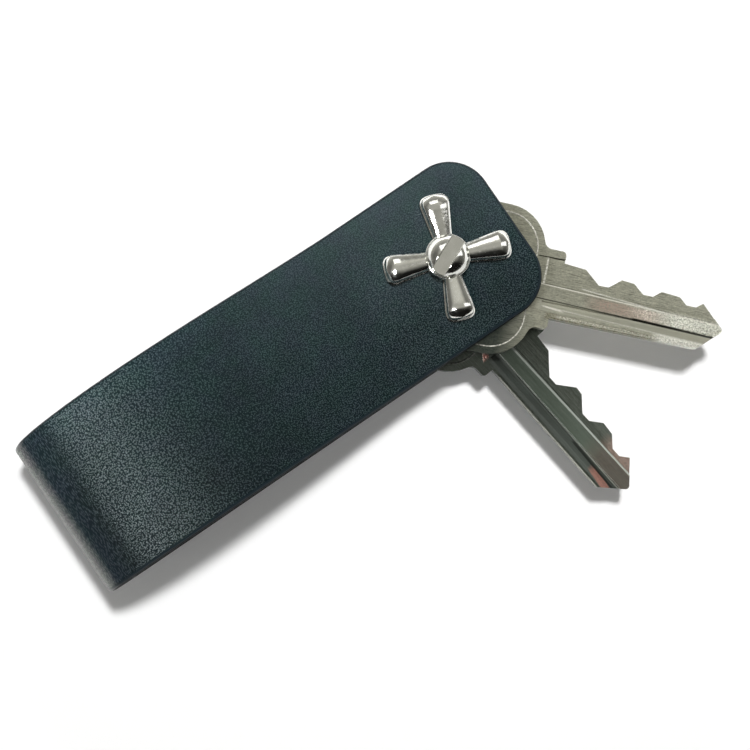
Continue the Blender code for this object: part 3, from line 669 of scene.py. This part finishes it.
def clubArm(index):
    # In plan the sides open out to the shoulder and close by (1 - past^n)^(1/n). Rings run inwards from that
    # outline: the rim's chamfer, then a steep wall; inside them a cap, an arc across the arm whose crown
    # rises evenly from the hub and falls by r - sqrt(r^2 - s^2) over the last stretch.
    k = knob
    shoulder = k["armReach"] - k["tipRound"]
    bend = np.linspace(0, np.pi / 2, 41)[1:]
    along = np.concatenate([np.linspace(0.4 * mm, shoulder, 70), shoulder + k["tipRound"] * np.sin(bend)])
    part = np.clip((along - k["boreRadius"]) / (shoulder - k["boreRadius"]), 0, 1)
    close = np.ones(len(along))
    power = 2 / k["tipSquareness"]
    along[-len(bend):] = shoulder + k["tipRound"] * np.sin(bend) ** power
    close[-len(bend):] = np.maximum(np.cos(bend), 0) ** power
    half = close * (k["rootWidth"] + (k["tipWidth"] - k["rootWidth"]) * part) / 2
    edge = np.gradient(np.stack([along, half], axis=1), axis=0)
    out = np.stack([-edge[:, 1], edge[:, 0]], axis=1)
    out /= np.linalg.norm(out, axis=1)[:, None]
    out[-1] = (1, 0)

    def inset(amount):
        shifted = np.stack([along, half], axis=1) - out * amount
        return shifted[:, 0], np.maximum(shifted[:, 1], 0)

    rim, rimTop, lip = k["rimWidth"], k["rimHeight"], k["wallRound"]
    wallTop = rim + k["wallDraft"]
    capAlong, capHalf = inset(wallTop + lip * 0.4)
    rise = k["rootHeight"] + (k["tipHeight"] - k["rootHeight"]) * part
    fallRadius = k["crownRound"] / math.sin(k["crownSlope"])
    fallen = np.clip(capAlong - capAlong[-1] + k["crownRound"], 0, k["crownRound"])
    crown = rise - fallRadius + np.sqrt(fallRadius**2 - fallen**2)
    slope = k["capSlope"]
    capTilt = np.linspace(slope, -slope, 50)
    capAcross = capHalf[:, None] * np.sin(capTilt) / math.sin(slope)
    capUp = crown[:, None] - capHalf[:, None] * (1 - np.cos(capTilt)) / math.sin(slope)
    capAlong = capAlong[:, None] + 0 * capAcross
    foot = rimTop - k["rimStep"]
    chamfer = rim * math.tan(k["rimSlope"])
    # Each ring: distance in from the outline, height, and how far the height follows the cap's edge.
    rings = [(0.0, 0.0, 0.0), (0.0, rimTop - chamfer, 0.0), (rim, rimTop, 0.0), (rim + 0.01 * mm, foot, 0.0)]
    rings += [(rim + (wallTop - rim) * t, foot * (1 - t) - lip * 1.1 * t, t) for t in (0.33, 0.66, 1.0)]
    rings += [(wallTop + lip * 0.13, -lip * 0.6, 1.0), (wallTop + lip * 0.25, -lip * 0.25, 1.0)]
    placed = [(*inset(amount), up + share * capUp[:, 0]) for amount, up, share in rings]
    ringAlong, ringHalf, ringUp = (np.stack(part, axis=1) for part in zip(*placed))
    section = np.concatenate(
        [
            np.stack([ringAlong, ringHalf, ringUp], axis=-1),
            np.stack([capAlong, capAcross, capUp], axis=-1),
            np.stack([ringAlong, -ringHalf, ringUp], axis=-1)[:, ::-1],
        ],
        axis=1,
    )
    angle = k["armAngle"] + 2 * np.pi * index / k["armCount"]
    c, n = math.cos(angle), math.sin(angle)
    x, y, z = np.moveaxis(section, -1, 0)
    points = np.stack([x * c - y * n, x * n + y * c, k["baseZ"] + z], axis=-1)
    rowCount, count = z.shape
    j = np.arange(count // 2)
    cap = np.stack([j, j + 1, count - 2 - j, count - 1 - j], axis=1)[:-1]  # closes the end in the hub
    return meshFrom("arm" + str(index), points, np.concatenate([gridFaces(rowCount, count, True), cap]))


def knobHub():
    k = knob
    top = k["baseZ"] + k["hubHeight"]
    edge = arcPoints((k["hubRadius"] - k["hubRound"], top - k["hubRound"]), k["hubRound"], 0, 90, 8)
    profile = [(0, k["baseZ"]), (k["hubRadius"], k["baseZ"]), *edge, (0, top)]
    return meshFrom("hub", *lathe(profile, roundSteps))


chrome = polishedChrome("polished_chrome")
knobMesh = cutMesh("crossKnob", knobHub(), [clubArm(i) for i in range(knob["armCount"])], "UNION")
seatZ = knob["baseZ"] + knob["hubHeight"] - 0.02 * mm
hollows = [
    rod("seat", knob["seatRadius"], seatZ, 20 * mm, roundSteps),
    rod("bore", knob["boreRadius"], 10 * mm, 18 * mm, boreSteps),
]
knobMesh = cutMesh("crossKnob", knobMesh, hollows, "DIFFERENCE")
knobMesh.shade_smooth()
knobMesh.set_sharp_from_angle(angle=knob["sharp"])
addPiece("crossKnob", knobMesh, "knob", chrome, ["cross_knob"])


# ---- screw
screw = {
    "headZ": 15.4 * mm,
    "headRadius": 3.05 * mm,
    "land": 0.5 * mm,
    "rise": 1.55 * mm,
    "slotWidth": 2.15 * mm,
    "slotDepth": 1.5 * mm,
    "slotAngle": math.radians(24.0),
    "slotRound": 0.1 * mm,
    "shankRadius": 1.5 * mm,
    "endZ": 8.7 * mm,
    "pitch": 0.5 * mm,
    "threadDepth": 0.16 * mm,
    "threadTop": 13.0 * mm,
    "leadDepth": 0.3 * mm,
    "leadHeight": 0.35 * mm,
    "seatRound": 0.06 * mm,
    "sharp": math.radians(50),
}


def screwMesh():
    # The top is a height over a disc: a sphere's cap, let down to the slot's floor between walls with rounded lips.
    # Below its rim the same directions carry rings: the land, the seat, then the thread, whose radius is
    # shank - depth * half a wave of (height / pitch - angle), so that one start climbs a pitch each turn.
    s = screw
    radius = s["headRadius"]
    landTop = s["headZ"] + s["land"]
    sphere = (radius**2 + s["rise"] ** 2) / (2 * s["rise"])
    half = s["slotWidth"] / 2
    lip = s["slotRound"]
    turn = np.linspace(0, np.pi / 2, 7)
    low = turn[1:]
    outer = -radius * np.cos(np.linspace(0, np.pi / 2, 60))
    outer = outer[outer < -(half + lip) - 1e-6]
    # Each column of the slot's side: place across, drop from the cap, share of the way down, height over the floor.
    side = [
        (outer, 0 * outer, 0 * outer, 0 * outer),
        (-(half + lip) + lip * np.sin(turn), lip * (1 - np.cos(turn)), 0 * turn, 0 * turn),
        (-half + 0.004 * mm * np.arange(1, 6), np.full(5, lip), np.linspace(0.02, 1, 5), np.full(5, lip)),
        (-half + 0.02 * mm + lip * (1 - np.cos(low)), 0 * low, 0 * low + 1, lip * (1 - np.sin(low))),
        (np.linspace(-half + 0.03 * mm + lip, 0, 8), np.zeros(8), np.ones(8), np.zeros(8)),
    ]
    x, drop, wall, foot = (np.concatenate([part[i] for part in side]) for i in range(4))
    x = np.concatenate([x, -x[-2::-1]])
    drop, wall, foot = (np.concatenate([v, v[-2::-1]]) for v in (drop, wall, foot))
    sweep = np.sin(np.linspace(-np.pi / 2, np.pi / 2, 81))
    y = np.sqrt(np.maximum(radius**2 - x**2, 0))[:, None] * sweep
    xGrid = x[:, None] + 0 * y
    cap = landTop + np.sqrt(np.maximum(sphere**2 - xGrid**2 - y**2, 0)) - (sphere - s["rise"])
    floor = landTop + s["rise"] - s["slotDepth"]
    z = (cap - drop[:, None]) * (1 - wall[:, None]) + (floor + foot[:, None]) * wall[:, None]
    z = np.maximum(np.minimum(z, cap), landTop - 0.02 * mm)
    c, n = math.cos(s["slotAngle"]), math.sin(s["slotAngle"])
    top = np.stack([y * c - xGrid * n, y * n + xGrid * c, z], axis=-1)
    rows, columns = z.shape
    ring = np.concatenate([np.arange(rows) * columns, np.arange(1, rows - 1)[::-1] * columns + columns - 1])
    points = top.reshape(-1, 3)
    way = points[ring, :2] / np.linalg.norm(points[ring, :2], axis=1)[:, None]
    angle = np.arctan2(way[:, 1], way[:, 0])
    height = np.linspace(s["threadTop"], s["endZ"], 260)
    wave = 0.5 + 0.5 * np.cos(2 * np.pi * height[:, None] / s["pitch"] - angle)
    fade = np.clip((s["threadTop"] - height) / s["pitch"], 0, 1)
    lead = s["leadDepth"] * np.clip(1 - (height - s["endZ"]) / s["leadHeight"], 0, 1)
    thread = s["shankRadius"] - s["threadDepth"] * (1 - wave) * fade[:, None] - lead[:, None]
    upperRadius = np.array([[radius], [radius - s["seatRound"]], [s["shankRadius"]]])
    upperHeight = [s["headZ"] + s["seatRound"], s["headZ"], s["headZ"]]
    ringRadius = np.concatenate([upperRadius + 0 * way[:, 0], thread, 0 * thread[:1]])
    ringHeight = np.concatenate([upperHeight, height, height[-1:]])
    rings = np.stack([ringRadius * way[:, 0], ringRadius * way[:, 1], ringHeight[:, None] + 0 * ringRadius], axis=-1)
    count = len(ring)
    index = np.concatenate([ring, len(points) + np.arange(rings.shape[0] * count)])
    faces = np.concatenate([gridFaces(rows, columns, False), index[gridFaces(rings.shape[0] + 1, count, True)]])
    mesh = meshFrom("domeScrew", np.concatenate([points, rings.reshape(-1, 3)]), faces)
    mesh.set_sharp_from_angle(angle=s["sharp"])
    return mesh


addPiece("domeScrew", screwMesh(), "screw", chrome, ["dome_screw"])

# ---- post
post = {
    "headRadius": 5.0 * mm,
    "headThickness": 1.2 * mm,
    "headRound": 0.4 * mm,
    "shoulderRound": 0.1 * mm,
    "barrelRadius": 2.5 * mm,
    "lipRound": 0.12 * mm,
    "topZ": 13.0 * mm,
    "boreRadius": 1.6 * mm,
    "boreFloorZ": 8.0 * mm,
    "boreLead": 0.15 * mm,
    "sharp": math.radians(32),
}


def postMesh():
    p = post
    bend, small, tiny = p["headRound"], p["shoulderRound"], p["lipRound"]
    edge = arcPoints((p["headRadius"] - bend, bend), bend, -90, 0, 8)
    shoulder = arcPoints((p["headRadius"] - small, p["headThickness"] - small), small, 0, 90, 4)
    lip = arcPoints((p["barrelRadius"] - tiny, p["topZ"] - tiny), tiny, 0, 90, 4)
    profile = [(0, 0), *edge, *shoulder, (p["barrelRadius"], p["headThickness"]), *lip]
    profile += [(p["boreRadius"] + p["boreLead"], p["topZ"]), (p["boreRadius"], p["topZ"] - p["boreLead"])]
    profile += [(p["boreRadius"], p["boreFloorZ"]), (0, p["boreFloorZ"])]
    mesh = meshFrom("rearPost", *lathe(profile, roundSteps))
    mesh.set_sharp_from_angle(angle=p["sharp"])
    return mesh


addPiece("rearPost", postMesh(), "strap", chrome, ["rear_post"])
print("metal done")

# ---- keys
# The bow's sunk panel in mm; a painted highlight runs along its outline between the first two and the last two
# distances from it.
bow = {
    "length": 18.65,
    "width": 20.6,
    "corner": 5.2,
    "back": 5.4,
    "offset": -1.0,
    "outline": (-0.18, -0.11, 0.01, 0.07),
}
# Marks: from and to (along, across) in mm, half width, softness, share, how broken, colour, any finish.
keys = {
    "frontKey": {
        "node": "front_key",
        "turn": math.radians(-46.0),
        "colour": (0.77, 0.77, 0.63),
        "dark": (0.52, 0.52, 0.43),
        "paintedShadeTowardsBow": (20.0, 10.0, 1.0, 0.95),  # mm along the key, and how dark the painted shade towards the bow grows
        "outline": (0.98, 0.96, 0.86),
        "marks": [
            ((1.0, -9.4), (12.6, -9.0), 3.3, 0.7, 1.0, 0.1, (0.055, 0.068, 0.06)),  # painted shade and painted dark reflection where the bow lies by the strap's edge
            ((15.0, -3.55), (44.0, -3.75), 0.62, 0.12, 0.9, 0.15, (0.32, 0.315, 0.25), "matt"),  # groove's floor
            ((22.8, -1.75), (33.0, -2.05), 0.68, 0.4, 0.55, 0.6, (0.66, 0.42, 0.37)),  # bare copper
            # white rough marks near the tip: partly bright cut metal, partly painted glints
            ((29.0, -1.75), (37.0, -1.9), 0.7, 0.45, 0.4, 1.0, (0.98, 0.97, 0.88), "rough"),
            ((34.0, -1.8), (46.0, -2.2), 0.85, 0.5, 0.75, 0.9, (1.0, 1.0, 0.92), "rough"),
            ((16.0, -4.95), (44.0, -5.3), 0.42, 0.12, 1.0, 0.6, (0.1, 0.09, 0.045), "rough"),
            # white rough line and patch on the spine: partly bright cut metal, partly painted glints
            ((18.0, -4.8), (36.0, -5.0), 0.16, 0.12, 0.65, 1.0, (1.0, 1.0, 0.9), "rough"),
            ((33.0, -4.8), (44.0, -5.1), 0.42, 0.2, 1.0, 0.6, (1.0, 1.0, 0.92), "rough"),
            # thin lines along the side milling's step: a painted shadow, then painted highlights
            ((14.5, -0.16), (43.0, -1.04), 0.03, 0.05, 0.5, 0.1, (0.2, 0.2, 0.16)),
            ((14.5, -0.36), (43.0, -1.26), 0.05, 0.06, 0.8, 0.2, (0.72, 0.7, 0.62), "matt"),
            ((21.0, 0.05), (34.0, -1.0), 0.05, 0.1, 0.7, 0.5, (0.75, 0.74, 0.68), "matt"),
            # a painted shadow on the groove's wall, thicker towards the tip, then painted highlights on its outer
            # edge
            ((14.2, -2.56), (44.0, -3.2), 0.05, 0.06, 0.9, 0.1, (0.03, 0.03, 0.025)),
            ((29.0, -2.84), (42.4, -3.16), 0.12, 0.08, 0.95, 0.0, (0.02, 0.02, 0.015)),
            ((15.5, -3.6), (43.0, -4.55), 0.05, 0.08, 0.6, 0.6, (0.72, 0.71, 0.64), "matt"),
            ((15.8, -3.6), (18.6, -3.9), 0.09, 0.1, 0.95, 0.3, (0.78, 0.76, 0.68), "matt"),
            # a painted highlight across the key where the milling starts
            ((14.93, 1.72), (15.15, 1.72), 1.9, 0.02, 1.0, 0.8, (1.0, 0.98, 0.9), "matt"),
            ((13.5, 3.72), (17.5, 3.76), 0.06, 0.04, 0.95, 0.0, (0.02, 0.02, 0.015)),
        ],
    },
    "rearKey": {
        "node": "rear_key",
        "turn": math.radians(-82.7),
        # painted shade and painted dark reflection: the rear key's nickel darker as a whole than the front key's,
        # where it lies under it
        "colour": (0.27, 0.3, 0.265),
        "dark": (0.13, 0.155, 0.13),
        # painted shade towards the bow, where the rear key lies under the front key
        "paintedShadeTowardsBow": (36.0, 17.0, 1.0, 0.42),
        "outline": (0.75, 0.75, 0.68),
        "marks": [
            ((16.0, -1.8), (37.0, -1.8), 0.9, 0.15, 0.55, 0.1, (0.2, 0.26, 0.21)),
            ((35.5, -1.7), (45.0, -1.7), 1.1, 0.4, 0.6, 0.3, (0.24, 0.19, 0.165)),
            ((36.5, 0.45), (45.0, 0.45), 0.8, 0.3, 0.7, 0.4, (0.42, 0.27, 0.22), "rough"),
            ((18.5, -4.2), (24.0, -3.3), 0.25, 0.3, 0.5, 0.9, (0.42, 0.52, 0.48)),
            ((15.5, -3.95), (44.0, -3.95), 0.85, 0.12, 0.85, 0.2, (0.05, 0.06, 0.052), "matt"),
            ((13.9, -4.1), (15.0, -4.9), 0.5, 0.08, 0.9, 0.3, (0.75, 0.36, 0.3), "rough"),
            ((37.8, -3.95), (42.0, -4.5), 0.5, 0.12, 0.9, 0.3, (0.36, 0.17, 0.13), "matt"),
            ((18.0, -5.0), (41.0, -5.1), 0.14, 0.1, 0.8, 0.7, (0.02, 0.025, 0.02)),
            ((18.5, -5.26), (41.0, -5.3), 0.05, 0.05, 0.7, 0.4, (0.45, 0.45, 0.38), "matt"),
            # a painted highlight along the side milling's step
            ((16.0, -0.8), (44.5, -0.34), 0.13, 0.06, 0.95, 0.1, (0.42, 0.46, 0.41), "matt"),
            # a thin painted highlight, then painted shadows on the groove's wall
            ((15.0, -2.83), (44.0, -3.02), 0.035, 0.05, 0.7, 0.3, (0.36, 0.38, 0.34), "matt"),
            ((20.0, -3.02), (44.0, -3.3), 0.06, 0.05, 0.85, 0.1, (0.02, 0.025, 0.02)),
            ((33.0, -3.32), (43.5, -3.72), 0.15, 0.08, 0.95, 0.0, (0.012, 0.015, 0.012)),
        ],
    },
}
keyEdges = {"merge": 0.002 * mm, "flat": math.radians(0.6), "bevel": 0.07 * mm, "sharp": math.radians(22)}


def bevelledKey(name, settings):
    # The solid's own mesh, merged and with flat faces joined, so that a fine bevel catches the light.
    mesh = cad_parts[settings["node"]].data.copy()
    mesh.name = name
    tidyMesh(mesh, keyEdges["merge"], keyEdges["flat"])
    finish = wearAndPaintedLightNickel(name + "_nickel", settings)
    piece = addPiece(name, mesh, settings["node"], finish, [settings["node"]])
    bevel = piece.modifiers.new("edges", "BEVEL")
    bevel.width = keyEdges["bevel"]
    bevel.segments = 2
    bevel.limit_method = "ANGLE"
    bevel.angle_limit = keyEdges["sharp"]
    shading = piece.modifiers.new("shading", "WEIGHTED_NORMAL")
    shading.keep_sharp = True


for keyName, keySettings in keys.items():
    bevelledKey(keyName, keySettings)

washerFinish = nylon("washer_finish")
for washer in ("rear_washer", "middle_washer", "front_washer"):
    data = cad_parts[washer].data
    data.materials.clear()
    data.materials.append(washerFinish)
print("keys done")


# ---- stage, light and camera
def imageWay(turn, rise):
    # A direction from its turn in the picture (0 = right, 90 = up) and its rise over the floor, in degrees.
    flat = math.radians(turn - studio["pictureTurn"])
    up = math.radians(rise)
    return np.array((math.cos(flat) * math.cos(up), math.sin(flat) * math.cos(up), math.sin(up)))


studio = {
    "pictureTurn": 34.3,  # degrees from the picture's right to +X
    "floorRadius": 2.5,
    "floorSteps": 96,
    "wallHeight": 0.3,
    "wallRound": 0.25,
    "floorColour": 0.9,
    "nearGlow": 0.135,
    "roomLight": 0.4,  # share of the room's light that falls on the object and floor
    "mirrorGlow": (0.03, 0.65),  # added for mirrors on the near and the far side of the picture
    "rimGlow": 0.75,  # and far away all round, for the metal's edges
    "zenith": (0.4, 0.395, 0.36),
    "roomRamp": ((0.0, 0.75), (0.22, 0.5), (0.4, 0.3), (0.62, 0.28), (0.8, 0.85), (1.0, 1.0)),  # rise, share
    "aim": (-0.01, -0.005, 0.01),
    "middle": (-0.02, -0.015, 0.0),
}
# Lamps: turn, rise, distance, width, height, light on the object.
lamps = {
    "key": (78, 72, 0.6, 0.065, 0.065, 3.15),
    "fill": (214, 12, 0.6, 0.3, 0.1, 0.6),
    "upperBox": (105, 46, 0.4, 0.28, 0.18, 0.4),
    "leftBox": (213, 53, 0.36, 0.08, 0.08, 3.7),
    "rightBox": (16, 42, 0.4, 0.12, 0.28, 0.25),
}


def sweepFloor():
    # A round floor that curves up at its edge, so that the background has no horizon.
    r = studio["floorRadius"]
    bend = arcPoints((r - studio["wallRound"], studio["wallRound"]), studio["wallRound"], -90, 0, 16)
    profile = [(0, 0), (0.3, 0), *bend, (r, studio["wallHeight"])]
    mesh = meshFrom("floor", *lathe(profile, studio["floorSteps"]))
    made = bpy.data.materials.new("floor_paper")
    made.use_nodes = True
    tree = made.node_tree
    tree.nodes.clear()
    shade = studio["floorColour"]
    diffuse = addNode(tree, "ShaderNodeBsdfDiffuse", {"Color": (shade, shade, shade, 1)})
    path = addNode(tree, "ShaderNodeLightPath")
    seen = mathNode(tree, "MAXIMUM", path.outputs["Is Camera Ray"], path.outputs["Is Transmission Ray"])
    place = objectPlace(tree)
    away = vectorMath(tree, "DISTANCE", place, studio["middle"])
    glow = spread(tree, away, 0.07, 0.2, studio["nearGlow"], 1.0)
    beyond = spread(tree, vectorMath(tree, "DOT_PRODUCT", place, imageWay(85, 0)), -0.1, 0.5, *studio["mirrorGlow"])
    mirrored = mathNode(tree, "ADD", beyond, spread(tree, away, 0.3, 0.6, 0.0, studio["rimGlow"]))
    mirrored = times(tree, mirrored, path.outputs["Is Glossy Ray"])
    strength = mathNode(tree, "ADD", times(tree, seen, glow), mirrored)
    light = addNode(tree, "ShaderNodeEmission", {"Color": (1, 1, 1, 1), "Strength": strength})
    both = addNode(tree, "ShaderNodeAddShader", {0: diffuse.outputs[0], 1: light.outputs[0]})
    addNode(tree, "ShaderNodeOutputMaterial", {0: both.outputs[0]})
    floor = newObject("floor", mesh)
    mesh.materials.append(made)


def areaLamp(name):
    # A rectangular lamp; its power gives the wanted light on the object: power = pi * light * distance^2.
    turn, rise, distance, width, height, onObject = lamps[name]
    light = bpy.data.lights.new(name, "AREA")
    light.shape = "RECTANGLE"
    light.size, light.size_y = width, height
    light.energy = math.pi * onObject * distance**2
    lamp = newObject(name, light)
    way = imageWay(turn, rise)
    side = np.cross((0, 0, 1.0), way)
    side /= np.linalg.norm(side)
    lamp.matrix_world = Matrix((side, np.cross(way, side), way)).transposed().to_4x4()
    lamp.location = np.array(studio["aim"]) + way * distance
    return lamp


def studioWorld():
    # Dim grey room: brighter overhead and at the horizon, dark on the near side of the picture.
    world = bpy.data.worlds.new("studio")
    bpy.context.scene.world = world
    world.use_nodes = True
    tree = world.node_tree
    way = addNode(tree, "ShaderNodeTexCoord").outputs["Generated"]
    rise = addNode(tree, "ShaderNodeSeparateXYZ", {0: way}).outputs[2]
    ramp = addNode(tree, "ShaderNodeValToRGB", {0: rise})
    stops = studio["roomRamp"]
    while len(ramp.color_ramp.elements) < len(stops):
        ramp.color_ramp.elements.new(0.5)
    for element, (position, share) in zip(ramp.color_ramp.elements, stops):
        element.position = position
        element.color = (*(share * c for c in studio["zenith"]), 1)
    near = vectorMath(tree, "DOT_PRODUCT", way, imageWay(275, 0))
    level = times(tree, spread(tree, near, 0.12, 0.55, 1.0, 0.06), spread(tree, near, -0.2, -0.75, 1.0, 2.2))
    path = addNode(tree, "ShaderNodeLightPath")
    seen = path.outputs["Is Camera Ray"]
    level = times(tree, level, byMask(tree, path.outputs["Is Diffuse Ray"], 1.0, studio["roomLight"]))
    outputs = {
        "Color": mixColours(tree, seen, ramp.outputs[0], (1.0, 1.0, 1.0)),
        "Strength": mathNode(tree, "MAXIMUM", level, seen),
    }
    feed(tree, tree.nodes["Background"], outputs)


def studioLight():
    studioWorld()
    for name in lamps:
        lamp = areaLamp(name)
        lamp.visible_camera = False
        # The key casts the shadow, the fill reaches under the fold; the boxes are what the metal and the sheen show.
        lamp.visible_glossy = "Box" in name
        lamp.visible_diffuse = "Box" not in name


view = {
    "lens": 66.252,
    "sensor": 36.0,
    "clipStart": 0.01,
    "place": (-0.02773013, -0.01524723, 0.21479896),
    "turns": (-3.11331832, 1.05155762, 34.33160298),  # degrees about X, Y and Z
}


def photoCamera():
    camera = bpy.data.cameras.new("camera")
    camera.lens = view["lens"]
    camera.sensor_width = view["sensor"]
    camera.clip_start = view["clipStart"]
    seat = newObject("camera", camera)
    aboutX, aboutY, aboutZ = (Matrix.Rotation(math.radians(a), 3, axis) for a, axis in zip(view["turns"], "XYZ"))
    seat.matrix_world = (aboutX @ aboutY @ aboutZ).transposed().to_4x4()
    seat.location = view["place"]
    bpy.context.scene.camera = seat


sweepFloor()
studioLight()
photoCamera()
bpy.context.scene.view_settings.view_transform = "Standard"
print("stage done")
